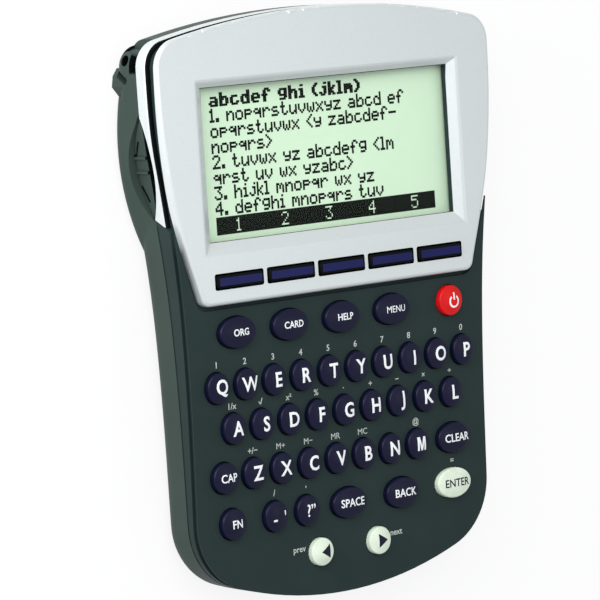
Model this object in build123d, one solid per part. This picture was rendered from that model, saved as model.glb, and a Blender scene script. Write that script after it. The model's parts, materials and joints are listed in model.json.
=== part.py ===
"""Pocket electronic dictionary: a hand-held slab with a wide display head and a tapering keyboard.

Frame: millimetres. The device lies on its flat back: +Z points out of the keyboard face,
+Y runs from the keyboard towards the display, +X to the right. The origin is under the middle
of the back. Every separate piece is written to parts/NODE.step.
"""
from build123d import *
from functools import cache
import math
import os

# ---------------------------------------------------------------- driving dimensions
LENGTH = 127.2                  # end arc to top arc, along Y
TOP_Y = 63.35                   # the top arc lies this far from the origin
HEAD_HALF = 46.6                # half width across the display head
WAIST_HALF = 41.15              # half width along the keyboard
PLATE_TOP = 15.6                # height of the silver display plate above the table
SEAM_Z = 8.75                   # parting line between the back case and the front parts
FACE_TILT = 2.0                 # the keyboard face falls this many degrees towards its end
PITCH = 0.1871 * WAIST_HALF     # letter key pitch
TRAVEL = 0.8                    # key travel

# body outline
TOP_ARC_R = 197.0
TOP_CORNER_R = 6.0
END_ARC_R = 92.0
END_CORNER_R = 15.0 / 127.2 * LENGTH   # rounding of the two corners at the keyboard's end
BODY_SIDE = [(0.037, -15.0), (0.211, 5.0), (0.633, 25.5), (0.945, 39.5)]  # share of the flare, Y
BACK_ROUND = 4.5                # rounding of the back case towards the table
WALL = 1.6                      # moulded wall thickness

# display plate
PLATE_END_Y = 2.4               # straight lower edge of the plate
PLATE_END_HALF = 38.3           # half width at the rounded lower corners
PLATE_LEAN = 16.0               # the sides leave those corners at this angle
PLATE_INSIDE = 0.15             # the plate's rim lies this far inside the body's
PLATE_SIDE = [(0.417, 15.5), (0.736, 26.0), (0.945, 39.5)]      # share of the flare, Y
PLATE_CORNER_R = 2.2
PLATE_THICK = 1.4
PLATE_SEAT = PLATE_TOP - PLATE_THICK
PLATE_ROUND = 0.9               # rounded rim of the plate
SKIRT_WIDTH = 1.2
SKIRT_LOW_Z = 13.1              # underside of the skirt beside the keyboard
SKIRT_HIGH_Z = 14.2             # underside of the skirt beside the display
SKIRT_LOW_Y = 18.0
SKIRT_HIGH_Y = 45.0
PLATE_MOAT = 1.0                # dark groove round the lower part of the plate

# display opening
LCD_Y = 31.85                   # middle of the display opening
LCD_WIDE = 68.6
LCD_TALL = 32.5
FRAME_SIDE = 2.2                # sloped frame, seen from the front
FRAME_TOP = 1.5
FRAME_BOTTOM = 2.4
FRAME_SOFT = 1.6                # rounding of the frame's outer edge
WINDOW_TOP = 12.9
WINDOW_THICK = 0.8
WINDOW_LAP = 1.5
LCD_THICK = 2.2
LCD_LEG_X = 30.0
LCD_LEG_WIDE = 4.0

# keyboard face, reveal groove and seams
FACE_AT_PLATE = 13.95           # face height at the lower edge of the plate
FACE_WALL = 1.5
WAIST_WALL = 2.6                # side wall round the keyboard
REVEAL_TOP = 0.25               # the groove in the side wall starts this far under the face
REVEAL_TALL = 1.35
REVEAL_DEEP = 0.7
SEAM_TALL = 0.45
SEAM_DEEP = 0.5
HEAD_START_Y = 20.0             # the silver side band begins here

# silver side band round the head
BAND_TOP = 11.9
BAND_THICK = 1.6
BAND_GAP = 0.08
BAND_ROUND = 0.8
BAND_FOOT = 1.3                 # the slanted end of the band starts this far up the body at the seam
BAND_LEAN = 1.7                 # and its top lies this much nearer to the keyboard
GROOVE_DEEP = 1.3               # dark groove between the band and the plate

# keys
KEY_RISE = 1.7                  # key top above the face
KEY_GAP = 0.2                   # gap between a key and its hole, all round
KEY_CROWN = (1.5, 0.35)         # shallow outer slope of the crowned top: width, fall
KEY_BEVEL = 0.45
OVAL_BLEND = 0.35               # how much blunter than an ellipse the tips are
FLANGE_LAP = 0.4
FLANGE_CUT = 1.2                # the flange is this much shorter than the key at each end
FLANGE_THICK = 0.6
FLANGE_GAP = 0.08
DOME_GAP = 0.12
LETTER_WIDE = 6.0
KEY_TALL = 6.7
ROUND_KEY = 6.1
POWER_KEY = 6.7
OVAL_WIDE = 9.7
SOFT_PITCH = 14.1
SOFT_SLOT_WIDE = 13.2
SOFT_SLOT_TALL = 3.5
SOFT_Y = 7.4
SOFT_RISE = 0.55
SOFT_GAP = 0.4                  # gap between a menu bar and its slot

FUNCTION_DROP = 6.148           # the function row lies this far below the plate

# the other key rows, as shares of the way from the plate to the end of the body
ROW_Q = 0.2634
ROW_A = 0.4000
ROW_Z = 0.5540
ROW_SPACE = 0.7064
ROW_ARROW = 0.8513

# circuit board and key mat
BOARD_Z = 6.9
BOARD_THICK = 1.0
MAT_THICK = 0.6
MAT_REACH = 2.2                 # the mat ends this far past the middle of the menu bars
BOARD_INSET = 3.6
POST_R = 1.3

# scroll rocker in the left side
ROCKER_Y = 32.2
ROCKER_Z = 8.45                 # height of its two tips
ROCKER_LONG = 21.5
ROCKER_RISE = 1.4               # the upper edge of the pad bows up by this
ROCKER_DROP = 3.6               # and the lower edge down by this
ROCKER_SLOT_RISE = 2.5          # upper edge of the opening, which leaves a wide gap there
ROCKER_GAP = 0.3
ROCKER_SINK = 0.5
ROCKER_RIB_RISE = 0.45
ROCKER_RIB_HALF = 0.3
ROCKER_RIBS = (-0.8, 2.3)       # places of the two grip ribs from the middle
ROCKER_MARKS = ((4.15, 6.0, 3.6, 24.4), (-5.35, 6.4, 4.0, -28.5))  # place, height, length, lean
ROCKER_MARK_TALL = 0.35
ROCKER_PIN_X = 6.0 - HEAD_HALF
ROCKER_PIN_R = 1.2
NOTCH_HALF = ROCKER_LONG / 2 + 3.25    # half length of the board's notch beside the rocker
NOTCH_GAP = 0.8
ROCKER_PIN_GAP = 0.05
ROCKER_BOSS_R = 2.4
ROCKER_BOSS_HALF = 1.8

# soft hips of the back case, below the rocker and opposite
HIP_R = 51.5
HIP_Y = 36.5
HIP_REACH = 1.2                 # the hips stand out this far from the head
HIP_LEAN = 1.5
HIP_ROUND = 2.5

# card bay in the back
BAY_Y = 27.0
BAY_WIDE = 37.0
BAY_LONG = 34.0
BAY_DEEP = 4.9
BAY_CORNER = 1.5
NOTCH_R = 7.0                   # finger notch at the upper edge of the bay
NOTCH_DEEP = 2.2

# strap hole in the upper left corner
STRAP_TOE = [(0.0, 13.9), (0.4, 11.6), (1.6, 10.0), (6.0, 10.0), (6.0, 15.9), (1.6, 15.9)]  # from the corner
STRAP_TOE_Z = 0.1
STRAP_WALL = 3.7
STRAP_SIZE = 9.1                # side of the thick-walled corner
STRAP_TOP = 15.9
STRAP_GROOVE_Z = 6.4            # dark groove between the strap corner and the silver band
STRAP_GROOVE_DEEP = 1.8
STRAP_GROOVE_SIZE = (5.6, 11.3)
STRAP_POCKET_Z = 1.5            # the eye's rim stands in a pocket above this height
STRAP_POCKET_DROP = 8.0
STRAP_EYE_R = 1.2
STRAP_EYE_RIM = 2.1
STRAP_EYE_TURN = 19.0
STRAP_EYE_Z = 4.75
STRAP_SLOT = (4.3, 1.7)         # second opening, on the side: length, width
STRAP_SLOT_DROP = 1.6           # below the middle of the corner arc
STRAP_SLOT_Z = 3.4
STRAP_SLOT_LEAN = 27.8
STRAP_DEPTH = 2.2               # depth of the tunnel's middle line
STRAP_TUNNEL_R = 1.0

# cells and their door
CELL_R = 10.0
CELL_THICK = 3.2
CELL_X = 10.6
CELL_END = 20.35                # the cells lie this far from the end of the body
CELL_Z = 1.75
DOOR_HALF = 23.0
DOOR_LONG = 32.35
DOOR_GAP = 0.2
DOOR_WALL = 1.5
DOOR_TOP = 4.6                  # the door's curved end reaches this high
RAIL_OUT = 0.8
RAIL_Z = 0.6
RAIL_TALL = 0.7
RAIL_CLEAR = 11.85              # the rails stop this far from the end of the body
CONTACT_THICK = 0.4
CONTACT_R = 4.0

# screws
SCREW_TOP = (8.2, 10.05)        # in from the side of the head, down from the top
SCREW_MIDDLE = (3.75, 9.6)      # in from the waist, above the plate's lower edge
SCREW_END = (11.65, 54.4 / 66.25)      # in from the waist, share of the way from the plate to the end
SCREW_HEAD_R = 1.9
SCREW_HEAD_TALL = 1.3
SCREW_SHANK_R = 0.9
SCREW_SINK = 0.8
SCREW_BOSS_R = 2.4
SCREW_TIP_Z = 10.2

END_Y = TOP_Y - LENGTH
CELL_Y = END_Y + CELL_END
DOOR_START_Y = END_Y + DOOR_LONG
GRIP_COUNT = 5                  # grip grooves in the door, each shorter than the one before
GRIP_START = 4.0
GRIP_STEP = 1.6
GRIP_R = 0.45
GRIP_LONG = 14.0
GRIP_SHRINK = 2.0
FLARE = HEAD_HALF - WAIST_HALF
TALL = 40.0                     # longer than anything it cuts


# ---------------------------------------------------------------- outlines
def corner_centre(half_width, corner_r, arc_r, arc_centre_y, side):
    """Centre of a corner arc that touches the side line and a large end arc from inside."""
    cx = half_width - corner_r
    return cx, arc_centre_y + side * math.sqrt((arc_r - corner_r) ** 2 - cx ** 2)


def on_circle(cx, cy, radius, degrees):
    return cx + radius * math.cos(math.radians(degrees)), cy + radius * math.sin(math.radians(degrees))


def top_stretch(half_width, shrink):
    """Right half of the head: upper corner arc, then the long top arc to the middle."""
    arc_centre = TOP_Y - TOP_ARC_R
    cx, cy = corner_centre(half_width, TOP_CORNER_R, TOP_ARC_R, arc_centre, 1)
    meet = math.degrees(math.atan2(cy - arc_centre, cx))
    corner_r, arc_r = TOP_CORNER_R - shrink, TOP_ARC_R - shrink
    corner = ThreePointArc((half_width - shrink, cy), on_circle(cx, cy, corner_r, meet / 2),
                           on_circle(cx, cy, corner_r, meet))
    top = ThreePointArc(corner @ 1, on_circle(0, arc_centre, arc_r, (meet + 90) / 2), (0, TOP_Y - shrink))
    return corner, top


def arc_pair(start, heading, end, end_heading):
    """Two arcs that join two places smoothly, each with its own heading."""
    way, both = end - start, heading + end_heading
    bend = 2 * (1 - heading.dot(end_heading))
    along = way.dot(both)
    if bend > 1e-9:
        reach = (math.sqrt(along ** 2 + bend * way.dot(way)) - along) / bend
    else:
        reach = way.dot(way) / (2 * along)
    knee, far_knee = start + heading * reach, end - end_heading * reach
    joint = (knee + far_knee) / 2
    return [TangentArc(start, joint, tangent=heading), TangentArc(joint, end, tangent=far_knee - knee)]


def side_curve(start, middle, end, lean, shrink):
    """Flowing side line of arcs through a few places, moved inwards at right angles to itself."""
    places = [Vector(*place) for place in [start, *middle, end]]
    headings = [Vector(math.sin(lean), math.cos(lean))]
    headings += [(after - before).normalized() for before, after in zip(places, places[2:])]
    headings.append(Vector(0, 1))
    moved = [place + Vector(-way.Y, way.X) * shrink for place, way in zip(places, headings)]
    arcs = []
    for here, way, there, next_way in zip(moved, headings, moved[1:], headings[1:]):
        arcs += arc_pair(here, way, there, next_way)
    return arcs


def closed_outline(half):
    half = Wire(half)
    return make_face(half + mirror(half, Plane.YZ))


@cache
def body_outline(shrink=0):
    """The whole body seen from the front: flared head, long waist, round end."""
    arc_centre = END_Y + END_ARC_R
    cx, cy = corner_centre(WAIST_HALF, END_CORNER_R, END_ARC_R, arc_centre, -1)
    meet = math.degrees(math.atan2(cy - arc_centre, cx))
    arc_r, corner_r = END_ARC_R - shrink, END_CORNER_R - shrink
    end = ThreePointArc((0, END_Y + shrink), on_circle(0, arc_centre, arc_r, (meet - 90) / 2),
                        on_circle(0, arc_centre, arc_r, meet))
    corner = ThreePointArc(end @ 1, on_circle(cx, cy, corner_r, meet / 2), (WAIST_HALF - shrink, cy))
    top_corner, top = top_stretch(HEAD_HALF, shrink)
    head_corner = (HEAD_HALF, (top_corner @ 0).Y)
    places = [(WAIST_HALF + share * FLARE, y) for share, y in BODY_SIDE]
    side = side_curve((WAIST_HALF, cy), places, head_corner, 0, shrink)
    return closed_outline([end, corner, *side, top_corner, top])


@cache
def plate_outline(shrink=0):
    """The silver display plate: the head's outline, drawn in to a narrow straight lower edge."""
    lean = math.radians(PLATE_LEAN)
    cx, cy = PLATE_END_HALF - PLATE_CORNER_R, PLATE_END_Y + PLATE_CORNER_R
    corner_r = PLATE_CORNER_R - shrink
    top_corner, top = top_stretch(HEAD_HALF - PLATE_INSIDE, shrink)
    base = Line((0, cy - corner_r), (cx, cy - corner_r))
    corner = ThreePointArc(base @ 1, on_circle(cx, cy, corner_r, -45 - PLATE_LEAN / 2),
                           on_circle(cx, cy, corner_r, -PLATE_LEAN))
    foot = on_circle(cx, cy, PLATE_CORNER_R, -PLATE_LEAN)
    head_corner = (HEAD_HALF - PLATE_INSIDE, (top_corner @ 0).Y)
    places = [(PLATE_END_HALF + share * (head_corner[0] - PLATE_END_HALF), y) for share, y in PLATE_SIDE]
    side = side_curve(foot, places, head_corner, lean, shrink)
    return closed_outline([base, corner, *side, top_corner, top])


def slab(face, low, high):
    """The outline raised between two heights."""
    return Pos(0, 0, low) * extrude(face, high - low)


def block(x0, x1, y0, y1, z0, z1):
    return Pos((x0 + x1) / 2, (y0 + y1) / 2, (z0 + z1) / 2) * Box(x1 - x0, y1 - y0, z1 - z0)


def face_z(y):
    """Height of the keyboard face at a place along the body."""
    return FACE_AT_PLATE - (PLATE_END_Y - y) * math.tan(math.radians(FACE_TILT))


def under_face(drop):
    """Everything below a plane that lies a given drop under the keyboard face."""
    corner = Pos(0, PLATE_END_Y, FACE_AT_PLATE - drop) * Rot(FACE_TILT, 0, 0)
    return corner * Pos(0, 0, -TALL / 2) * Box(3 * LENGTH, 3 * LENGTH, TALL)


# ---------------------------------------------------------------- shared forms
CAVITY_INSET = BAND_THICK + WALL + BAND_GAP
CAVITY_TOP = SKIRT_LOW_Z - FACE_WALL
ROCKER_MIDDLE_Z = ROCKER_Z + (ROCKER_RISE - ROCKER_DROP) / 2
BOARD_TOP = BOARD_Z + BOARD_THICK
MAT_TOP = BOARD_TOP + MAT_THICK
FACE_KEYS_Y = PLATE_END_Y - PLATE_MOAT - 1.9      # the thinner face wall begins here
SCREWS = [(side * x, y) for side in (-1, 1) for x, y in (
    (HEAD_HALF - SCREW_TOP[0], TOP_Y - SCREW_TOP[1]), (WAIST_HALF - SCREW_MIDDLE[0], PLATE_END_Y + SCREW_MIDDLE[1]),
    (WAIST_HALF - SCREW_END[0], PLATE_END_Y + SCREW_END[1] * (END_Y - PLATE_END_Y)))]


def behind_band_end(gap):
    """The half space on the keyboard side of the slanted lower end of the silver band."""
    lean = math.degrees(math.atan2(BAND_LEAN, BAND_TOP - SEAM_Z))
    place = Pos(0, HEAD_START_Y + BAND_FOOT - gap, SEAM_Z) * Rot(lean, 0, 0)
    return place * Pos(0, -LENGTH, 0) * Box(LENGTH, 2 * LENGTH, 4 * LENGTH)


def rocker_prism(long, rise, drop, x_inner):
    """Eye-shaped prism through the left side wall: the rocker's pad, or its opening."""
    upper = ThreePointArc((-long / 2, 0), (0, rise), (long / 2, 0))
    lower = ThreePointArc((long / 2, 0), (0, -drop), (-long / 2, 0))
    side = Plane(origin=(x_inner, ROCKER_Y, ROCKER_Z), x_dir=(0, -1, 0), z_dir=(-1, 0, 0))
    return extrude(side * make_face(Wire([upper, lower])), TALL)


def rocker_opening():
    return rocker_prism(ROCKER_LONG + 4 * ROCKER_GAP, ROCKER_SLOT_RISE, ROCKER_DROP + ROCKER_GAP, ROCKER_PIN_X)


@cache
def tub(shrink):
    """The bath-shaped outside of the back case, or its inside when shrunk."""
    solid = slab(body_outline(shrink), shrink, SEAM_Z)
    rim = solid.faces().sort_by(Axis.Z)[0].edges()
    return fillet(rim, max(BACK_ROUND - shrink, 1.0))


def cylinder(x, y, z0, z1, radius):
    return Pos(x, y, (z0 + z1) / 2) * Cylinder(radius, z1 - z0)


# ---------------------------------------------------------------- keys
def row(share):
    """Place of a key row along the body."""
    return PLATE_END_Y + share * (END_Y - PLATE_END_Y)


def key_table():
    """Every key: node name, place, width, height along Y and the kind of key it is."""
    keys = []
    for number in range(5):
        keys.append((f"key_soft_{number + 1}", (number - 2) * SOFT_PITCH, SOFT_Y,
                     SOFT_SLOT_WIDE - 2 * SOFT_GAP, SOFT_SLOT_TALL - 2 * SOFT_GAP, "soft"))
    for number, name in enumerate(("org", "card", "help", "menu")):
        keys.append((f"key_{name}", -28.9 + number * 14.44, PLATE_END_Y - FUNCTION_DROP, OVAL_WIDE, KEY_TALL, "face"))
    keys.append(("key_power", 31.4, PLATE_END_Y - FUNCTION_DROP, POWER_KEY, POWER_KEY, "face"))
    for row_share, first_x, letters in ((ROW_Q, -4.5 * PITCH, "qwertyuiop"), (ROW_A, -4 * PITCH, "asdfghjkl"),
                                    (ROW_Z, -25.85, "zxcvbnm")):
        for number, letter in enumerate(letters):
            keys.append((f"key_{letter}", first_x + number * PITCH, row(row_share), LETTER_WIDE, KEY_TALL, "face"))
    keys.append(("key_cap", -33.8, row(ROW_Z), 6.7, KEY_TALL, "face"))
    keys.append(("key_clear", 30.9, row(ROW_Z), 9.2, KEY_TALL, "face"))
    for name, x, wide in (("fn", -32.15, 6.5), ("dash", -20.55, 6.2), ("question", -11.75, 6.2),
                          ("space", 0.0, 9.5), ("back", 15.3, 9.3), ("enter", 30.5, 9.7)):
        keys.append((f"key_{name}", x, row(ROW_SPACE), wide, KEY_TALL, "face"))
    keys.append(("key_prev", -8.2, row(ROW_ARROW), ROUND_KEY, ROUND_KEY, "face"))
    keys.append(("key_next", 8.2, row(ROW_ARROW), ROUND_KEY, ROUND_KEY, "face"))
    return keys


KEYS = key_table()


def wall_under(y, kind):
    """Height of the underside of the wall that a key's flange stops against."""
    return CAVITY_TOP if kind == "soft" else face_z(y) - FACE_WALL


def oval(wide, tall):
    """Oval of four arcs, two at the tips and two on the flanks."""
    long, short = max(wide, tall) / 2, min(wide, tall) / 2
    if long == short:
        return Circle(long)
    tip_r = short ** 2 / long + OVAL_BLEND * (short - short ** 2 / long)
    flank_r = ((long - tip_r) ** 2 + short ** 2 - tip_r ** 2) / (2 * (short - tip_r))
    x = long - tip_r + tip_r * (long - tip_r) / (flank_r - tip_r)
    y = tip_r * (flank_r - short) / (flank_r - tip_r)
    joints = [(x, -y), (x, y), (-x, y), (-x, -y), (x, -y)]
    middles = [(long, 0), (0, short), (-long, 0), (0, -short)]
    shape = make_face(Wire([ThreePointArc(*places) for places in zip(joints, middles, joints[1:])]))
    return shape if wide > tall else Rot(0, 0, 90) * shape


def key_outline(wide, tall, kind):
    return RectangleRounded(wide, tall, 0.5) if kind == "soft" else oval(wide, tall)


def key_hole(_, x, y, wide, tall, kind):
    gap = SOFT_GAP if kind == "soft" else KEY_GAP
    return Pos(x, y, 0) * slab(key_outline(wide + 2 * gap, tall + 2 * gap, kind), SEAM_Z, TALL)


def key_body(wide, tall, kind, y, x):
    """A crowned cap over a flange that keeps the key in the case."""
    under = wall_under(y, kind)
    top = PLATE_TOP + SOFT_RISE if kind == "soft" else face_z(y) + KEY_RISE
    flange = slab(Rectangle(wide + 2 * FLANGE_LAP, tall - 2 * FLANGE_CUT),
                  under - FLANGE_GAP - FLANGE_THICK, under - FLANGE_GAP)
    cap = slab(key_outline(wide, tall, kind), under - FLANGE_GAP - FLANGE_THICK / 2, top)
    if kind == "soft":
        cap = chamfer(cap.faces().sort_by(Axis.Z)[-1].edges(), 0.35)
    else:
        upper = cap.faces().sort_by(Axis.Z)[-1]
        cap = chamfer(upper.edges(), *KEY_CROWN, reference=upper)
        cap = chamfer(cap.edges().group_by(Axis.Z)[-3], KEY_BEVEL)
    return Pos(x, y, 0) * (cap + flange)


# ---------------------------------------------------------------- front parts
def front_case():
    """Moulded front: tilted keyboard face, waist walls and the dark core inside the head."""
    low = slab(body_outline(), SEAM_Z, PLATE_TOP) & under_face(0) & behind_band_end(0)
    head = slab(body_outline(BAND_THICK + BAND_GAP), SEAM_Z, BAND_TOP)
    head += slab(body_outline(GROOVE_DEEP), BAND_TOP, SKIRT_LOW_Z)
    head -= behind_band_end(0)
    recess = slab(plate_outline(-PLATE_MOAT), SKIRT_LOW_Z, TALL)
    case = low - recess + head
    case += slab(plate_outline(SKIRT_WIDTH + BAND_GAP), SKIRT_LOW_Z, PLATE_SEAT)

    reveal = block(-LENGTH, LENGTH, -LENGTH, LENGTH, 0, TALL) - slab(body_outline(REVEAL_DEEP), 0, TALL)
    reveal = reveal & under_face(REVEAL_TOP) & behind_band_end(-0.5)
    case -= reveal - under_face(REVEAL_TOP + REVEAL_TALL)
    seam = block(-LENGTH, LENGTH, -LENGTH, LENGTH, 0, TALL) - slab(body_outline(SEAM_DEEP), 0, TALL)
    case -= seam & block(-LENGTH, LENGTH, -LENGTH, HEAD_START_Y, 0, SEAM_Z + SEAM_TALL)

    keys_end = slab(body_outline(WAIST_WALL), 0, TALL) & under_face(FACE_WALL)
    case -= keys_end & block(-LENGTH, LENGTH, -LENGTH, FACE_KEYS_Y, 0, TALL)
    hollow = slab(body_outline(CAVITY_INSET), 0, CAVITY_TOP)
    case -= hollow & block(-LENGTH, LENGTH, FACE_KEYS_Y, LENGTH, 0, TALL)
    half_wide, half_tall = LCD_WIDE / 2 + WINDOW_LAP, LCD_TALL / 2 + WINDOW_LAP
    case -= block(-half_wide, half_wide, LCD_Y - half_tall, LCD_Y + half_tall, CAVITY_TOP - 1, WINDOW_TOP)
    case -= block(-LCD_WIDE / 2, LCD_WIDE / 2, LCD_Y - LCD_TALL / 2, LCD_Y + LCD_TALL / 2, CAVITY_TOP, TALL)
    case -= [key_hole(*key) for key in KEYS]
    for x, y in SCREWS:
        case += cylinder(x, y, BOARD_Z, CAVITY_TOP + 0.3 if y > 0 else face_z(y) - 1, SCREW_BOSS_R)
        case -= cylinder(x, y, BOARD_Z, SCREW_TIP_Z, SCREW_SHANK_R)
    case -= rocker_opening()
    return case


def display_bezel():
    """Silver display plate: rounded rim, skirt, sloped frame round the display, five slots."""
    plate = slab(plate_outline(), SKIRT_LOW_Z, PLATE_TOP)
    plate = fillet(plate.faces().sort_by(Axis.Z)[-1].edges(), PLATE_ROUND)
    plate -= slab(plate_outline(SKIRT_WIDTH), 0, PLATE_SEAT)
    rise = SKIRT_HIGH_Z - SKIRT_LOW_Z
    lean = math.degrees(math.atan2(rise, SKIRT_HIGH_Y - SKIRT_LOW_Y))
    plate -= (Pos(0, SKIRT_LOW_Y, SKIRT_LOW_Z) * Rot(lean, 0, 0) * Pos(0, LENGTH, -TALL / 2)
              * Box(3 * LENGTH, 2 * LENGTH, TALL))
    middle = LCD_Y + (FRAME_TOP - FRAME_BOTTOM) / 2
    outer = Rectangle(LCD_WIDE + 2 * FRAME_SIDE, LCD_TALL + FRAME_TOP + FRAME_BOTTOM)
    inner = Rectangle(LCD_WIDE, LCD_TALL)
    plate -= loft([Pos(0, middle, PLATE_TOP) * outer, Pos(0, LCD_Y, PLATE_SEAT) * inner])
    top = plate.faces().filter_by(Axis.Z).sort_by(Axis.Z)[-1]
    plate = fillet(top.inner_wires()[0].edges(), FRAME_SOFT)
    return plate - [key_hole(*key) for key in KEYS if key[5] == "soft"]


def side_band():
    """Silver band round the side of the head, between the plate and the back case."""
    band = slab(body_outline(), SEAM_Z, BAND_TOP)
    band = fillet(band.faces().sort_by(Axis.Z)[-1].edges(), BAND_ROUND)
    band -= slab(body_outline(BAND_THICK), 0, TALL)
    band -= behind_band_end(-BAND_GAP)
    return band - rocker_opening()


def display_window():
    wide, tall = LCD_WIDE + 2 * WINDOW_LAP - 0.3, LCD_TALL + 2 * WINDOW_LAP - 0.3
    return Pos(0, LCD_Y, WINDOW_TOP - WINDOW_THICK / 2) * Box(wide, tall, WINDOW_THICK)


def lcd_module():
    """Display glass on a frame that stands on the circuit board."""
    top = WINDOW_TOP - WINDOW_THICK
    module = Pos(0, LCD_Y, top - LCD_THICK / 2) * Box(LCD_WIDE + 1.6, LCD_TALL + 1.6, LCD_THICK)
    for side in (-1, 1):
        leg = Pos(side * LCD_LEG_X, LCD_Y, (BOARD_TOP + top - LCD_THICK) / 2)
        module += leg * Box(LCD_LEG_WIDE, LCD_TALL - LCD_LEG_WIDE, top - LCD_THICK - BOARD_TOP)
    return module


# ---------------------------------------------------------------- inside
def main_board():
    board = slab(body_outline(BOARD_INSET), BOARD_Z, BOARD_TOP)
    board -= block(-HEAD_HALF, ROCKER_PIN_X + ROCKER_BOSS_R + NOTCH_GAP, ROCKER_Y - NOTCH_HALF,
                   ROCKER_Y + NOTCH_HALF, 0, TALL)
    board -= strap_block(0)
    for x, y in SCREWS:
        board -= cylinder(x, y, 0, TALL, SCREW_BOSS_R + 0.3)
    return board


def key_mat():
    """Rubber mat on the board, with a post under every key."""
    mat = slab(body_outline(BOARD_INSET + 0.6), BOARD_TOP, MAT_TOP)
    mat -= block(-LENGTH, LENGTH, SOFT_Y + MAT_REACH, LENGTH, 0, TALL)
    for x, y in SCREWS:
        if y < 0:
            mat -= cylinder(x, y, 0, TALL, SCREW_BOSS_R + 0.3)
    posts = []
    for _, x, y, wide, tall, kind in KEYS:
        reach = wall_under(y, kind) - FLANGE_GAP - FLANGE_THICK - TRAVEL - DOME_GAP
        posts.append(block(x - POST_R, x + POST_R, y - POST_R, y + POST_R, MAT_TOP - 0.1, reach))
    return mat + posts


# ---------------------------------------------------------------- back
def door_space(gap):
    """The part of the back that the cell door takes, grown by a gap."""
    shell = tub(0) - tub(DOOR_WALL + gap)
    return shell & block(-DOOR_HALF - gap, DOOR_HALF + gap, -LENGTH, DOOR_START_Y + gap, -1, DOOR_TOP + gap)


def back_case():
    """Bath-shaped back with the cell bay, card bay, strap corner, bosses and rocker pin."""
    case = tub(0) + hips() - tub(WALL)
    case += tub(0) & block(-BAY_WIDE / 2 - WALL, BAY_WIDE / 2 + WALL, BAY_Y - BAY_LONG / 2 - WALL,
                           BAY_Y + BAY_LONG / 2 + WALL, 0, BAY_DEEP + WALL)
    bay = Pos(0, BAY_Y, 0) * slab(RectangleRounded(BAY_WIDE, BAY_LONG, BAY_CORNER), -1, BAY_DEEP)
    case += cylinder(0, BAY_Y + BAY_LONG / 2, WALL / 2, NOTCH_DEEP + WALL, NOTCH_R + WALL)
    case -= bay
    case -= cylinder(0, BAY_Y + BAY_LONG / 2, -1, NOTCH_DEEP, NOTCH_R)

    case += tub(DOOR_WALL) & block(-DOOR_HALF - WALL, DOOR_HALF + WALL, -LENGTH, DOOR_START_Y + WALL, 0, BOARD_Z)
    case -= door_space(DOOR_GAP)
    for side in (-1, 1):
        case -= cylinder(side * CELL_X, CELL_Y, 0, CELL_Z + CELL_THICK + CONTACT_THICK, CELL_R + 0.2)
        rail = sorted((side * DOOR_HALF, side * (DOOR_HALF + RAIL_OUT + DOOR_GAP)))
        case -= block(rail[0], rail[1], -LENGTH, DOOR_START_Y - 1, RAIL_Z - 0.15, RAIL_Z + RAIL_TALL + 0.15)

    case += strap_corner()
    case -= strap_openings()

    for x, y in SCREWS:
        case += cylinder(x, y, 0.8, BOARD_Z, SCREW_BOSS_R + 1.0) & tub(0)
        case -= cylinder(x, y, -1, SCREW_SINK + SCREW_HEAD_TALL, SCREW_HEAD_R + 0.15)
        case -= cylinder(x, y, 0, TALL, SCREW_SHANK_R + 0.1)
    case -= rocker_opening()
    case += cylinder(ROCKER_PIN_X, ROCKER_Y, WALL / 2, ROCKER_MIDDLE_Z + ROCKER_BOSS_HALF + WALL / 2, ROCKER_PIN_R)
    return case


def hips():
    """Soft swelling of the back case on both sides of the head, widest near the table."""
    swell = Cone(HIP_R, HIP_R - HIP_LEAN, SEAM_Z)
    swell = fillet(swell.edges().sort_by(Axis.Z)[0], HIP_ROUND)
    inside = slab(body_outline(WALL), -1, TALL)
    middle = HIP_R - HEAD_HALF - HIP_REACH
    left, right = [Pos(side * middle, HIP_Y, SEAM_Z / 2) * swell for side in (-1, 1)]
    return (left & right) - inside & block(-LENGTH, LENGTH, 0, TOP_Y - STRAP_TOP, 0, SEAM_Z)


def strap_block(low):
    """The square region of the thick-walled upper left corner."""
    return block(-LENGTH, STRAP_SIZE - HEAD_HALF, TOP_Y - STRAP_TOP, LENGTH, low, TALL)


def strap_corner():
    """Thick upper left corner of the back, with a toe that points outwards to the table."""
    toe = make_face(Polyline([(x - HEAD_HALF, TOP_Y - y) for x, y in STRAP_TOE], close=True))
    corner = tub(0) & strap_block(0)
    corner += slab(body_outline(), STRAP_TOE_Z, SEAM_Z) & slab(toe, 0, TALL)
    return corner - slab(body_outline(STRAP_WALL), 0, TALL)


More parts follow.
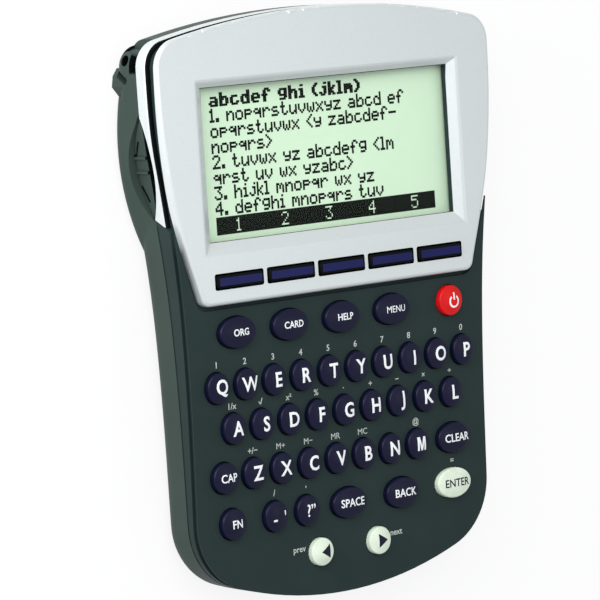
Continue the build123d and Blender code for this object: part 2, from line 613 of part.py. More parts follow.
def strap_openings():
    """Openings of the strap corner: a round eye, a slanted slot, the tunnel between them and a groove."""
    skin = slab(body_outline(), 0, SEAM_Z) - slab(body_outline(STRAP_GROOVE_DEEP), 0, TALL)
    end_x = STRAP_GROOVE_SIZE[0] - HEAD_HALF
    groove = skin & block(-LENGTH, end_x, TOP_Y - STRAP_GROOVE_SIZE[1], LENGTH, STRAP_GROOVE_Z, TALL)
    pocket = skin & block(-LENGTH, end_x, TOP_Y - STRAP_POCKET_DROP, LENGTH, STRAP_POCKET_Z, TALL)
    cx, cy = corner_centre(HEAD_HALF, TOP_CORNER_R, TOP_ARC_R, TOP_Y - TOP_ARC_R, 1)
    reach = TOP_CORNER_R - STRAP_DEPTH
    eye_x, eye_y = on_circle(-cx, cy, reach, 180 - STRAP_EYE_TURN)
    outwards = Pos(eye_x, eye_y, STRAP_EYE_Z) * Rot(0, 0, -STRAP_EYE_TURN) * Rot(0, -90, 0)
    from_inside = (Align.CENTER, Align.CENTER, Align.MIN)
    eye = outwards * Cylinder(STRAP_EYE_R, TOP_CORNER_R, align=from_inside)
    groove += pocket - outwards * Cylinder(STRAP_EYE_RIM, TOP_CORNER_R, align=from_inside)
    slot = Plane(origin=(-cx - reach, cy - STRAP_SLOT_DROP, STRAP_SLOT_Z), x_dir=(0, 1, 0), z_dir=(-1, 0, 0))
    slot = extrude(slot * SlotOverall(*STRAP_SLOT, rotation=90 - STRAP_SLOT_LEAN), TOP_CORNER_R)
    tunnel_z = (STRAP_EYE_Z + STRAP_SLOT_Z) / 2
    tunnel = Pos(eye_x, (eye_y + cy - STRAP_SLOT_DROP) / 2, tunnel_z) * Rot(90, 0, 0) * Cylinder(
        STRAP_TUNNEL_R, eye_y - cy + STRAP_SLOT_DROP + STRAP_TUNNEL_R)
    return groove + eye + slot + tunnel


def battery_door():
    """Cell door: a curved piece of the back that slides off towards the keyboard end."""
    door = door_space(0)
    for side in (-1, 1):
        rail = sorted((side * (DOOR_HALF - 0.5), side * (DOOR_HALF + RAIL_OUT)))
        door += block(rail[0], rail[1], END_Y + RAIL_CLEAR, DOOR_START_Y - 1.5, RAIL_Z, RAIL_Z + RAIL_TALL)
    for number in range(GRIP_COUNT):
        y = DOOR_START_Y - GRIP_START - number * GRIP_STEP
        door -= Pos(0, y, 0) * Rot(0, 90, 0) * Cylinder(GRIP_R, GRIP_LONG - number * GRIP_SHRINK)
    return door


def batteries():
    return [cylinder(side * CELL_X, CELL_Y, CELL_Z, CELL_Z + CELL_THICK, CELL_R) for side in (-1, 1)]


def battery_contacts():
    top = CELL_Z + CELL_THICK
    return [cylinder(side * CELL_X, CELL_Y, top, top + CONTACT_THICK, CONTACT_R) for side in (-1, 1)]


def scroll_rocker():
    """Eye-shaped rocker on an upright pin, with two grip ribs and two slanted marks."""
    prism = rocker_prism(ROCKER_LONG, ROCKER_RISE, ROCKER_DROP, ROCKER_PIN_X - 1.6)
    pad = prism & slab(body_outline(ROCKER_SINK), 0, TALL)
    proud = prism & slab(body_outline(ROCKER_SINK - ROCKER_RIB_RISE), 0, TALL)
    for place in ROCKER_RIBS:
        y = ROCKER_Y + place
        pad += proud & block(-LENGTH, 0, y - ROCKER_RIB_HALF, y + ROCKER_RIB_HALF, 0, TALL)
    core = slab(body_outline(ROCKER_SINK + ROCKER_RIB_RISE), 0, TALL)
    for place, z, long, lean in ROCKER_MARKS:
        pad -= Pos(0, ROCKER_Y + place, z) * Rot(lean, 0, 0) * Box(LENGTH, long, ROCKER_MARK_TALL) - core
    low, high = ROCKER_MIDDLE_Z - ROCKER_BOSS_HALF, ROCKER_MIDDLE_Z + ROCKER_BOSS_HALF
    pad += block(ROCKER_PIN_X - 2, ROCKER_PIN_X, ROCKER_Y - 3, ROCKER_Y + 3, low, high)
    pad += cylinder(ROCKER_PIN_X, ROCKER_Y, low, high, ROCKER_BOSS_R)
    return pad - cylinder(ROCKER_PIN_X, ROCKER_Y, 0, TALL, ROCKER_PIN_R + ROCKER_PIN_GAP)


def card_connector():
    """Contact strip at the lower wall of the card bay, with its row of blades."""
    low_y = BAY_Y - BAY_LONG / 2
    strip = block(-14, 14, low_y, low_y + 2.4, BAY_DEEP - 2.2, BAY_DEEP)
    blades = [block(x - 0.4, x + 0.4, low_y + 2.4, low_y + 3.0, BAY_DEEP - 1.8, BAY_DEEP)
              for x in range(-12, 13, 3)]
    return [strip] + blades


def case_screws():
    screws = []
    for x, y in SCREWS:
        head = cylinder(x, y, SCREW_SINK, SCREW_SINK + SCREW_HEAD_TALL, SCREW_HEAD_R)
        screws.append(head + cylinder(x, y, SCREW_SINK + SCREW_HEAD_TALL - 0.1, SCREW_TIP_Z, SCREW_SHANK_R))
    return screws


# ---------------------------------------------------------------- write every node
def write(name, shape):
    solids = shape if isinstance(shape, list) else shape.solids()
    whole = solids[0] if len(solids) == 1 else Compound(children=list(solids))
    whole.label = name
    export_step(whole, f"parts/{name}.step")


os.makedirs("parts", exist_ok=True)
for build in (front_case, display_bezel, side_band, display_window, lcd_module, main_board, key_mat,
              back_case, battery_door, batteries, battery_contacts, scroll_rocker, card_connector,
              case_screws):
    write(build.__name__, build())
for name, x, y, wide, tall, kind in KEYS:
    write(name, key_body(wide, tall, kind, y, x))
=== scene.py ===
"""Looks of a pocket electronic dictionary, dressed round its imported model.

Everything is in metres in the model's own frame: +X to the right, +Y from the keyboard towards
the display, +Z out of the keyboard face. The device lies on its flat back on the floor.
"""

import json
import logging
import math
from dataclasses import dataclass, field
from enum import Enum
from typing import Callable

import bmesh
import bpy
from mathutils import Matrix, Vector
from mathutils.bvhtree import BVHTree


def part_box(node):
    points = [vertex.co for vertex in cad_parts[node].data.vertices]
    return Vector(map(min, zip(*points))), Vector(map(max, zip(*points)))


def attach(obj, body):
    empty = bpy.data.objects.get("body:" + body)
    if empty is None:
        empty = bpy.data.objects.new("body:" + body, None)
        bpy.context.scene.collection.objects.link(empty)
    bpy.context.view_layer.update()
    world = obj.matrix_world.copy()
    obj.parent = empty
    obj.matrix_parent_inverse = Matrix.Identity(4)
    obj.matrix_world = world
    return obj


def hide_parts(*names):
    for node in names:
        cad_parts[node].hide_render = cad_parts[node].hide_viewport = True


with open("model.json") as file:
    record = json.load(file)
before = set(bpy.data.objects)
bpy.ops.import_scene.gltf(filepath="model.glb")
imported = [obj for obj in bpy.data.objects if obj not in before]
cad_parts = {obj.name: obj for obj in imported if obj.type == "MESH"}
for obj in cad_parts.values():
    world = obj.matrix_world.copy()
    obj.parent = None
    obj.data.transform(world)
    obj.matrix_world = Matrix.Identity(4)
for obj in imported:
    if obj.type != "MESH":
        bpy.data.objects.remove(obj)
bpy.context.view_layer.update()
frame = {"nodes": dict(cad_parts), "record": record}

log = logging.getLogger("dictionary")

MM = 0.001
WELD = 0.0005 * MM                  # points nearer than this are one
SHARP = math.radians(24)            # edges that turn by more than this stay sharp
CASE = "case"                       # the body that carries the shells
Colour = tuple[float, float, float]
Place = tuple[float, float, float]
Outline = list[tuple[float, float]]


def srgb(red: int, green: int, blue: int) -> Colour:
    """Turn a screen colour of 0 to 255 a channel into the linear colour that shaders take.

    Args:
        red: red channel.
        green: green channel.
        blue: blue channel.

    Returns:
        The linear colour.
    """
    def linear(channel: int) -> float:
        """Return one linear channel."""
        share = channel / 255
        return share / 12.92 if share <= 0.04045 else ((share + 0.055) / 1.055) ** 2.4
    return linear(red), linear(green), linear(blue)


# ------------------------------------------------------------------------------ shader maths
class Value:
    """A shader socket that takes part in Python arithmetic."""

    def __init__(self, recipe: "Recipe", socket: bpy.types.NodeSocket) -> None:
        """Keep the socket and the recipe that it belongs to."""
        self.recipe = recipe
        self.socket = socket

    def _sum(self, operation: str, first: "Number", second: "Number") -> "Value":
        """Add one Math node and return its result."""
        return self.recipe.node("ShaderNodeMath", {"operation": operation}, {0: first, 1: second})

    def __add__(self, other: "Number") -> "Value":
        """Return self + other."""
        return self._sum("ADD", self, other)

    def __sub__(self, other: "Number") -> "Value":
        """Return self - other."""
        return self._sum("SUBTRACT", self, other)

    def __rsub__(self, other: "Number") -> "Value":
        """Return other - self."""
        return self._sum("SUBTRACT", other, self)

    def __mul__(self, other: "Number") -> "Value":
        """Return self * other."""
        return self._sum("MULTIPLY", self, other)

    __radd__ = __add__
    __rmul__ = __mul__


Number = Value | float


class Recipe:
    """The node tree of one material."""

    def __init__(self, name: str) -> None:
        """Start an empty material.

        Args:
            name: name of the material.
        """
        self.material = bpy.data.materials.new(name)
        self.material.use_nodes = True
        self.tree = self.material.node_tree
        self.tree.nodes.clear()

    def node(self, kind: str, settings: dict | None = None, sockets: dict | None = None,
             output: int | str = 0) -> Value:
        """Add any node.

        Args:
            kind: Blender's name of the node type.
            settings: properties set before the sockets; "stops" fills a colour ramp.
            sockets: values or links of the inputs, by name or number.
            output: the output that is returned.

        Returns:
            The chosen output.
        """
        made = self.tree.nodes.new(kind)
        for name, setting in (settings or {}).items():
            if name == "stops":
                for stop, (place, colour) in zip(made.color_ramp.elements, setting):
                    stop.position = place
                    stop.color = (*colour, 1)
            else:
                setattr(made, name, setting)
        for key, given in (sockets or {}).items():
            if isinstance(given, Value):
                self.tree.links.new(given.socket, made.inputs[key])
            else:
                made.inputs[key].default_value = given
        return Value(self, made.outputs[output])

    def noise(self, size: float, detail: float, stretch: Place = (1, 1, 1)) -> Value:
        """Add cloudy noise on Object coordinates.

        Args:
            size: size of one cloud, in metres.
            detail: levels of finer noise.
            stretch: how much the pattern is squeezed along each axis.

        Returns:
            A value round 0.5.
        """
        place = self.node("ShaderNodeTexCoord", output="Object")
        place = self.node("ShaderNodeMapping", sockets={"Vector": place, "Scale": stretch})
        return self.node("ShaderNodeTexNoise",
                         sockets={"Vector": place, "Scale": 1 / size, "Detail": detail})

    def tint(self, factor: Value, colour: Colour, drift: tuple[float, float],
             ends: tuple[float, float] = (0.3, 0.7)) -> Value:
        """Let a colour drift with a factor.

        Args:
            factor: the factor.
            colour: the colour.
            drift: the two shares of the colour between which it drifts.
            ends: the factors at which the drift begins and ends.

        Returns:
            The colour.
        """
        stops = [(end, shade(colour, share)) for end, share in zip(ends, drift)]
        return self.node("ShaderNodeValToRGB", {"stops": stops}, {"Fac": factor})

    def bump(self, height: Value, depth: float) -> Value:
        """Turn a height of 0 to 1 into a normal, at a depth in metres."""
        return self.node("ShaderNodeBump", sockets={"Height": height, "Distance": depth, "Strength": 1.0})

    def finish(self, shader: Value) -> bpy.types.Material:
        """Connect the shader to the output.

        Args:
            shader: the shader.

        Returns:
            The material.
        """
        end = self.tree.nodes.new("ShaderNodeOutputMaterial")
        self.tree.links.new(shader.socket, end.inputs["Surface"])
        return self.material

    def principled(self, **sockets: object) -> bpy.types.Material:
        """Finish with a Principled shader whose sockets are given with spaces as underscores."""
        named = {name.replace("_", " "): given for name, given in sockets.items()}
        return self.finish(self.node("ShaderNodeBsdfPrincipled", sockets=named))


# ------------------------------------------------------------------------------ finishes
def shade(colour: Colour, share: float) -> Colour:
    """Return the colour made lighter or darker by a share."""
    return tuple(min(channel * share, 1.0) for channel in colour)


@dataclass(frozen=True)
class Pattern:
    """Cloudy noise, and what it does to a finish."""

    size: float                     # size of one cloud
    detail: float                   # levels of finer noise
    stretch: Place = (1, 1, 1)
    drift: tuple[float, float] | None = None    # shares of the colour between which it moves it
    rough: float = 0.0              # how far it moves the roughness
    depth: float = 0.0              # height of its relief


@dataclass(frozen=True)
class Finish:
    """A surface whose colour, roughness and relief follow a few patterns."""

    name: str
    colour: Colour
    roughness: float
    patterns: tuple[Pattern, ...]
    others: dict[str, float] = field(default_factory=dict)      # plain values of other sockets

    def make(self) -> bpy.types.Material:
        """Build the material.

        Returns:
            The material.
        """
        recipe = Recipe(self.name)
        sockets = {"Base_Color": (*self.colour, 1), "Roughness": self.roughness, **self.others}
        for pattern in self.patterns:
            noise = recipe.noise(pattern.size, pattern.detail, pattern.stretch)
            if pattern.drift:
                sockets["Base_Color"] = recipe.tint(noise, self.colour, pattern.drift)
            if pattern.rough:
                sockets["Roughness"] = sockets["Roughness"] + (noise - 0.5) * pattern.rough
            if pattern.depth:
                sockets["Normal"] = recipe.bump(noise, pattern.depth)
        return recipe.principled(**sockets)


@dataclass(frozen=True)
class SilverPaint:
    """Sprayed silver paint on plastic: metal flake under a satin clear coat."""

    name: str
    colour: Colour
    roughness: float = 0.36
    metallic: float = 0.42
    flake: float = 0.09 * MM        # size of one flake
    glint: float = 0.05             # how far single flakes differ in colour
    flake_rough: float = 0.08       # and in roughness
    smudge: Pattern = Pattern(9 * MM, 4, rough=0.06)
    peel: Pattern = Pattern(0.7 * MM, 1, depth=0.0015 * MM)     # the sprayed coat's orange peel

    def make(self) -> bpy.types.Material:
        """Build the material.

        Returns:
            The material.
        """
        recipe = Recipe(self.name)
        place = recipe.node("ShaderNodeTexCoord", output="Object")
        flakes = recipe.node("ShaderNodeTexVoronoi", sockets={"Vector": place, "Scale": 1 / self.flake},
                             output="Color")
        flake = recipe.node("ShaderNodeSeparateColor", sockets={"Color": flakes}, output="Red")
        colour = recipe.tint(flake, self.colour, (1 - self.glint, 1 + self.glint), (0.0, 1.0))
        smudges = recipe.noise(self.smudge.size, self.smudge.detail)
        roughness = self.roughness + (flake - 0.5) * self.flake_rough + (smudges - 0.5) * self.smudge.rough
        relief = recipe.bump(recipe.noise(self.peel.size, self.peel.detail), self.peel.depth)
        return recipe.principled(Base_Color=colour, Metallic=self.metallic, Roughness=roughness,
                                 Normal=relief)


def plastic(name: str, colour: Colour, roughness: float, grain: float = 0.28 * MM,
            depth: float = 0.006 * MM, specular: float = 0.12) -> Finish:
    """Describe injection-moulded plastic: fine eroded grain, slow colour drift and smudged gloss.

    Args:
        name: name of the finish.
        colour: its colour.
        roughness: its roughness.
        grain: size of one grain.
        depth: height of the grain.
        specular: strength of its gloss.

    Returns:
        The finish.
    """
    return Finish(name, colour, roughness, (
        Pattern(14 * MM, 3, drift=(0.93, 1.07)), Pattern(6 * MM, 4, (1, 0.6, 1), rough=0.10),
        Pattern(grain, 1, rough=0.05, depth=depth)), {"Specular_IOR_Level": specular})


def key_plastic(name: str, colour: Colour, roughness: float = 0.34) -> Finish:
    """Describe the keys' plastic: smooth satin with a thin gloss where fingers polish it."""
    return Finish(name, colour, roughness, (
        Pattern(3 * MM, 2, drift=(0.92, 1.08), rough=0.12), Pattern(0.16 * MM, 1, depth=0.0015 * MM)),
        {"Coat_Weight": 0.04, "Coat_Roughness": 0.25, "Specular_IOR_Level": 0.16})


def ink(name: str, colour: Colour, specular: float = 0.15) -> Finish:
    """Describe printed ink, slightly uneven."""
    return Finish(name, colour, 0.475, (Pattern(0.8 * MM, 2, drift=(0.94, 1.0), rough=0.15),),
                  {"Specular_IOR_Level": specular})


def metal(name: str, colour: Colour, roughness: float = 0.3) -> Finish:
    """Describe turned or pressed metal with fine drag marks."""
    drag = Pattern(0.35 * MM, 3, (1, 6, 1), (0.9, 1.0), 0.2, 0.002 * MM)
    return Finish(name, colour, roughness, (drag,), {"Metallic": 1.0})


FACE_PLASTIC = plastic("face_plastic", srgb(36, 50, 49), 0.50)
BACK_PLASTIC = plastic("back_plastic", srgb(54, 67, 62), 0.50, grain=0.35 * MM, depth=0.009 * MM)
# painted shade: near-black plastic laid on faces that lie in shadow
PAINTED_SHADE = plastic("painted_shade", srgb(10, 13, 13), 0.6, specular=0.05)
SILVER = SilverPaint("silver_paint", srgb(212, 218, 218))
NAVY_KEY = key_plastic("navy_key", srgb(16, 17, 43))
PALE_KEY = key_plastic("pale_key", srgb(214, 226, 208), 0.42)
RED_KEY = key_plastic("red_key", srgb(208, 20, 22))
BAR_KEY = key_plastic("bar_key", srgb(15, 20, 76), 0.3)
WHITE_INK = ink("white_ink", srgb(238, 243, 243))
DARK_INK = ink("dark_ink", srgb(22, 24, 46))
DOT_INK = ink("dot_ink", srgb(6, 8, 7), 0.02)
PRINT_INK = ink("print_ink", srgb(186, 194, 188))
STEEL = metal("screw_steel", srgb(150, 150, 152))
CELL_STEEL = metal("cell_steel", srgb(205, 205, 200), 0.22)
GOLD = metal("contact_gold", srgb(214, 178, 98), 0.25)
BOARD = plastic("board_lacquer", srgb(30, 92, 54), 0.3, grain=0.6 * MM, depth=0.004 * MM)
MAT = plastic("mat_rubber", srgb(150, 150, 148), 0.6)
CONNECTOR = plastic("connector_plastic", srgb(26, 26, 28), 0.4)
DISPLAY = Finish("display_glass", srgb(209, 236, 206), 0.42, (      # glass over a finely rolled reflector
    Pattern(22 * MM, 2, drift=(0.975, 1.025)),
    Pattern(0.12 * MM, 1, (1, 0.25, 1), rough=0.15, depth=0.001 * MM)))
WINDOW = Finish("clear_window", srgb(150, 165, 150), 0.075, (Pattern(12 * MM, 3, rough=0.05),),
                {"Alpha": 0.02, "Specular_IOR_Level": 0.1})


class Cupboard:
    """Makes each finish once."""

    def __init__(self) -> None:
        """Start with nothing made."""
        self.made: dict[str, bpy.types.Material] = {}

    def get(self, finish: Finish | SilverPaint) -> bpy.types.Material:
        """Look a finish up, and make it the first time.

        Args:
            finish: the finish.

        Returns:
            Its material.
        """
        if finish.name not in self.made:
            self.made[finish.name] = finish.make()
        return self.made[finish.name]


finishes = Cupboard()


# ------------------------------------------------------------------------------ mesh helpers
def slot_of(node: str) -> str:
    """Return the record's material slot of a CAD node."""
    return next(part["material_slot"] for part in frame["record"]["subparts"] if part["node"] == node)


def box_of(node: str) -> tuple[Vector, Vector]:
    """Return the middle and the half size of a CAD node's box."""
    low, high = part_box(node)
    return (low + high) / 2, (high - low) / 2


def plan_middle(node: str) -> Vector:
    """Return the middle of a CAD node's box in plan, at height 0."""
    low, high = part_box(node)
    return Vector(((low.x + high.x) / 2, (low.y + high.y) / 2, 0))


def place_object(name: str, data: bpy.types.ID) -> bpy.types.Object:
    """Put an object with some data in the scene.

    Args:
        name: name of the object.
        data: its mesh, lamp or camera.

    Returns:
        The new object, at the origin.
    """
    thing = bpy.data.objects.new(name, data)
    bpy.context.scene.collection.objects.link(thing)
    return thing


def add_object(name: str, mesh: bpy.types.Mesh, finish: Finish | SilverPaint) -> bpy.types.Object:
    """Put a mesh in the scene with one finish.

    Args:
        name: name of the piece.
        mesh: its mesh, already in place.
        finish: its finish.

    Returns:
        The new object, at the origin.
    """
    mesh.name = name
    mesh.materials.clear()
    mesh.materials.append(finishes.get(finish))
    return place_object(name, mesh)


def seat(piece: bpy.types.Object, body: str, slot: str, *nodes: str) -> bpy.types.Object:
    """Let a piece ride on a body and stand for CAD nodes.

    Args:
        piece: the finished piece.
        body: the body that it moves with.
        slot: the record's material slot; not used.
        nodes: CAD nodes that it replaces.

    Returns:
        The same piece.
    """
    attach(piece, body)
    if nodes:
        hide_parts(*nodes)
    log.info("%s rides on %s", piece.name, body)
    return piece


def opened(*meshes: bpy.types.Mesh, weld: bool = False) -> bmesh.types.BMesh:
    """Open meshes as one working mesh.

    Args:
        meshes: the meshes.
        weld: whether points that lie together become one.

    Returns:
        The working mesh.
    """
    work = bmesh.new()
    for mesh in meshes:
        work.from_mesh(mesh)
    if weld:
        bmesh.ops.remove_doubles(work, verts=work.verts, dist=WELD)
    return work


def closed(work: bmesh.types.BMesh, outwards: bool = False) -> bpy.types.Mesh:
    """Turn a working mesh into a new mesh and free it.

    Args:
        work: the working mesh.
        outwards: whether its faces still have to be turned outwards.

    Returns:
        The mesh.
    """
    if outwards:
        bmesh.ops.recalc_face_normals(work, faces=work.faces)
    mesh = bpy.data.meshes.new("piece")
    work.to_mesh(mesh)
    work.free()
    return mesh


def bridge(work: bmesh.types.BMesh, below: list[bmesh.types.BMVert],
           above: list[bmesh.types.BMVert]) -> None:
    """Join two closed rings of as many points by a band of faces.

    Args:
        work: the working mesh.
        below: the points of one ring.
        above: the points of the other, in the same order.
    """
    for here in range(len(below)):
        there = (here + 1) % len(below)
        work.faces.new((below[here], below[there], above[there], above[here]))


def add_box(work: bmesh.types.BMesh, middle: Vector, size: Place) -> None:
    """Add a box to a working mesh."""
    for vert in bmesh.ops.create_cube(work, size=1.0)["verts"]:
        vert.co = Vector(vert.co[axis] * size[axis] + middle[axis] for axis in range(3))


def polished_copy(node: str, finish: Finish | SilverPaint, body: str = CASE) -> bpy.types.Object:
    """Stand a smooth-shaded copy in for a CAD node.

    Args:
        node: the CAD node.
        finish: its finish.
        body: the body that it moves with.

    Returns:
        The copy.
    """
    mesh = frame["nodes"][node].data.copy()
    if mesh.attributes.get("custom_normal"):
        mesh.attributes.remove(mesh.attributes["custom_normal"])
    work = opened(mesh, weld=True)
    for face in work.faces:
        face.smooth = True
    for edge in work.edges:
        edge.smooth = len(edge.link_faces) == 2 and edge.calc_face_angle(0) < SHARP
    work.to_mesh(mesh)
    work.free()
    piece = add_object(f"{node}_shell", mesh, finish)
    piece.modifiers.new("weighted normals", "WEIGHTED_NORMAL").keep_sharp = True
    return seat(piece, body, slot_of(node), node)


def paint_shade(piece: bpy.types.Object, chosen: Callable[[bpy.types.MeshPolygon], bool]) -> None:
    """Give some faces of a piece painted shade: a near-black finish where they lie in shadow.

    Args:
        piece: the piece.
        chosen: tells whether a face is one of them.
    """
    piece.data.materials.append(finishes.get(PAINTED_SHADE))
    for face in piece.data.polygons:
        if chosen(face):
            face.material_index = 1


def dress(node: str, finish: Finish) -> None:
    """Give a CAD node its finish and leave its shape.

    Args:
        node: the CAD node.
        finish: its finish.
    """
    mesh = frame["nodes"][node].data
    mesh.materials.clear()
    mesh.materials.append(finishes.get(finish))
    log.info("%s keeps its solid", node)


def island_middles(node: str) -> list[Vector]:
    """Return the middle of each loose solid of a CAD node.

    Args:
        node: the CAD node.

    Returns:
        One point for each solid.
    """
    work = opened(frame["nodes"][node].data, weld=True)
    left = set(work.verts)
    middles = []
    while left:
        island, front = set(), [left.pop()]
        while front:
            vert = front.pop()
            island.add(vert.co.copy().freeze())
            for edge in vert.link_edges:
                other = edge.other_vert(vert)
                if other in left:
                    left.remove(other)
                    front.append(other)
        low, high = (Vector(end(co[axis] for co in island) for axis in range(3)) for end in (min, max))
        middles.append((low + high) / 2)
    work.free()
    return sorted(middles, key=lambda middle: tuple(middle))


# ------------------------------------------------------------------------------ geometry nodes
class Scatter:
    """A Geometry Nodes tree that puts one template on every point of a mesh."""

    def __init__(self, name: str) -> None:
        """Build the tree.

        Args:
            name: name of the node group.
        """
        self.group = bpy.data.node_groups.new(name, "GeometryNodeTree")
        face = self.group.interface
        self.inputs = {label: face.new_socket(label, in_out="INPUT", socket_type=f"NodeSocket{kind}")
                       for label, kind in (("Points", "Geometry"), ("Template", "Object"), ("Size", "Float"),
                                           ("Finish", "Material"))}
        face.new_socket("Geometry", in_out="OUTPUT", socket_type="NodeSocketGeometry")
        given, info, spread, real, paint, result = (self.group.nodes.new(kind) for kind in (
            "NodeGroupInput", "GeometryNodeObjectInfo", "GeometryNodeInstanceOnPoints",
            "GeometryNodeRealizeInstances", "GeometryNodeSetMaterial", "NodeGroupOutput"))
        for start, output, end, entry in (
                (given, "Template", info, "Object"), (given, "Points", spread, "Points"),
                (info, "Geometry", spread, "Instance"), (given, "Size", spread, "Scale"),
                (spread, "Instances", real, "Geometry"), (real, "Geometry", paint, "Geometry"),
                (given, "Finish", paint, "Material"), (paint, "Geometry", result, "Geometry")):
            self.group.links.new(start.outputs[output], end.inputs[entry])

    def run(self, name: str, points: list[Vector], template: bpy.types.Mesh, size: float,
            finish: Finish) -> bpy.types.Object:
        """Scatter a template over points and return the plain mesh.

        Args:
            name: name of the piece.
            points: where the copies go.
            template: what is copied.
            size: scale of each copy.
            finish: its finish.

        Returns:
            The new piece, with no modifier left.
        """
        master = bpy.data.objects.new("template", template)
        cloud = bpy.data.meshes.new("points")
        cloud.from_pydata([tuple(point) for point in points], [], [])
        carrier = place_object("carrier", cloud)
        modifier = carrier.modifiers.new("scatter", "NODES")
        modifier.node_group = self.group
        for label, given in (("Template", master), ("Size", size), ("Finish", finishes.get(finish))):
            modifier[self.inputs[label].identifier] = given
        bpy.context.view_layer.update()
        shot = carrier.evaluated_get(bpy.context.evaluated_depsgraph_get())
        mesh = bpy.data.meshes.new_from_object(shot)
        bpy.data.objects.remove(carrier)
        bpy.data.objects.remove(master)
        return add_object(name, mesh, finish)


# ------------------------------------------------------------------------------ lettering
@dataclass
class Lettering:
    """Flat raised print, laid on a surface that is given as a height over the plan."""

    thick: float = 0.035 * MM       # height of the ink film with the part that is sunk
    sunk: float = 0.015 * MM        # how far it is sunk into the surface
    fine: float = 0.45 * MM         # longest edge before it is laid on a curved surface
    cuts: int = 3                   # how often longer edges are halved
    cap_share: float = 0.682        # height of a capital at font size 1
    curve_steps: int = 3

    def mesh(self, text: str, cap: float, weight: float, place: Vector,
             height: Callable[[float, float], float], narrow: float = 1.0) -> bpy.types.Mesh:
        """Make one word as a closed film of ink.

        Args:
            text: the word.
            cap: height of its capitals.
            weight: how much the strokes are thickened; an M would close up, so its word is left thin.
            place: middle of the word in plan.
            height: height of the surface at a place.
            narrow: width of the letters against the font's own.

        Returns:
            The mesh, in place.
        """
        curve = bpy.data.curves.new("word", "FONT")
        curve.body = text
        curve.size = cap / self.cap_share
        curve.offset = 0.0 if "m" in text.lower() else weight
        curve.extrude = self.thick / 2
        curve.resolution_u = self.curve_steps
        holder = bpy.data.objects.new("word", curve)
        mesh = bpy.data.meshes.new_from_object(holder)
        bpy.data.objects.remove(holder)
        bpy.data.curves.remove(curve)
        return self.lay(mesh, place, height, narrow)

    def lay(self, mesh: bpy.types.Mesh, place: Vector, height: Callable[[float, float], float],
            narrow: float = 1.0) -> bpy.types.Mesh:
        """Lay a flat extruded mesh on the surface.

        Args:
            mesh: the mesh.
            place: where its middle goes in plan.
            height: height of the surface at a place.
            narrow: its new width against its old one.

        Returns:
            The mesh, in place.
        """
        work = opened(mesh, weld=True)
        bmesh.ops.triangulate(work, faces=work.faces)
        for _ in range(self.cuts):
            long_edges = [edge for edge in work.edges if edge.calc_length() > self.fine]
            bmesh.ops.subdivide_edges(work, edges=long_edges, cuts=1)
            bmesh.ops.triangulate(work, faces=work.faces)
        low, high = ([end(vert.co[axis] for vert in work.verts) for axis in range(2)] for end in (min, max))
        lift = self.thick / 2 - self.sunk
        for vert in work.verts:
            x = (vert.co.x - (low[0] + high[0]) / 2) * narrow + place.x
            y = vert.co.y - (low[1] + high[1]) / 2 + place.y
            vert.co = Vector((x, y, height(x, y) + vert.co.z + lift))
        return closed(work, outwards=True)


lettering = Lettering()


def flat_shape(outline: Outline, thick: float = lettering.thick, inner: Outline | None = None
               ) -> bpy.types.Mesh:
    """Make a flat plate from an outline, or a strip between two outlines of as many points.

    Args:
        outline: points of the outer outline, anticlockwise.
        thick: thickness of the plate.
        inner: points of the inner outline, if the plate is a strip.

    Returns:
        The mesh, round the plan's origin.
    """
    work = bmesh.new()
    outer = [work.verts.new((x, y, -thick / 2)) for x, y in outline]
    if inner:
        ring = [work.verts.new((x, y, -thick / 2)) for x, y in inner]
        for here in range(len(outer) - 1):
            work.faces.new((outer[here], outer[here + 1], ring[here + 1], ring[here]))
    else:
        work.faces.new(outer)
    grown = bmesh.ops.extrude_face_region(work, geom=list(work.faces))
    tops = [item for item in grown["geom"] if isinstance(item, bmesh.types.BMVert)]
    bmesh.ops.translate(work, verts=tops, vec=(0, 0, thick))
    return closed(work, outwards=True)


def ring_points(rx: float, ry: float, count: int, start: float = 0.0, sweep: float = 360.0) -> Outline:
    """Return points on an ellipse, or on a stretch of one.

    Args:
        rx: half width.
        ry: half height.
        count: how many points.
        start: angle of the first, in degrees.
        sweep: angle that they cover, in degrees.

    Returns:
        The points, anticlockwise.
    """
    steps = count if sweep == 360.0 else count - 1
    angles = [math.radians(start + sweep * number / steps) for number in range(count)]
    return [(rx * math.cos(angle), ry * math.sin(angle)) for angle in angles]


# ------------------------------------------------------------------------------ keys
class KeyKind(Enum):
    """What a key looks like."""

    NAVY = "navy"
    PALE = "pale"
    POWER = "power"


KEY_FINISH = {KeyKind.NAVY: NAVY_KEY, KeyKind.PALE: PALE_KEY, KeyKind.POWER: RED_KEY}
KEY_WORDS = {"org": "ORG", "card": "CARD", "help": "HELP", "menu": "MENU", "cap": "CAP", "clear": "CLEAR",
             "fn": "FN", "dash": "-  '", "question": "?”", "space": "SPACE", "back": "BACK", "enter": "ENTER"}

# outline of a bold M for a capital height of 1
LETTER_M = [(0.0, 0.0), (0.17, 0.0), (0.17, 0.66), (0.34, 0.0), (0.48, 0.0), (0.65, 0.66), (0.65, 0.0),
            (0.82, 0.0), (0.82, 1.0), (0.58, 1.0), (0.41, 0.33), (0.24, 1.0), (0.0, 1.0)]


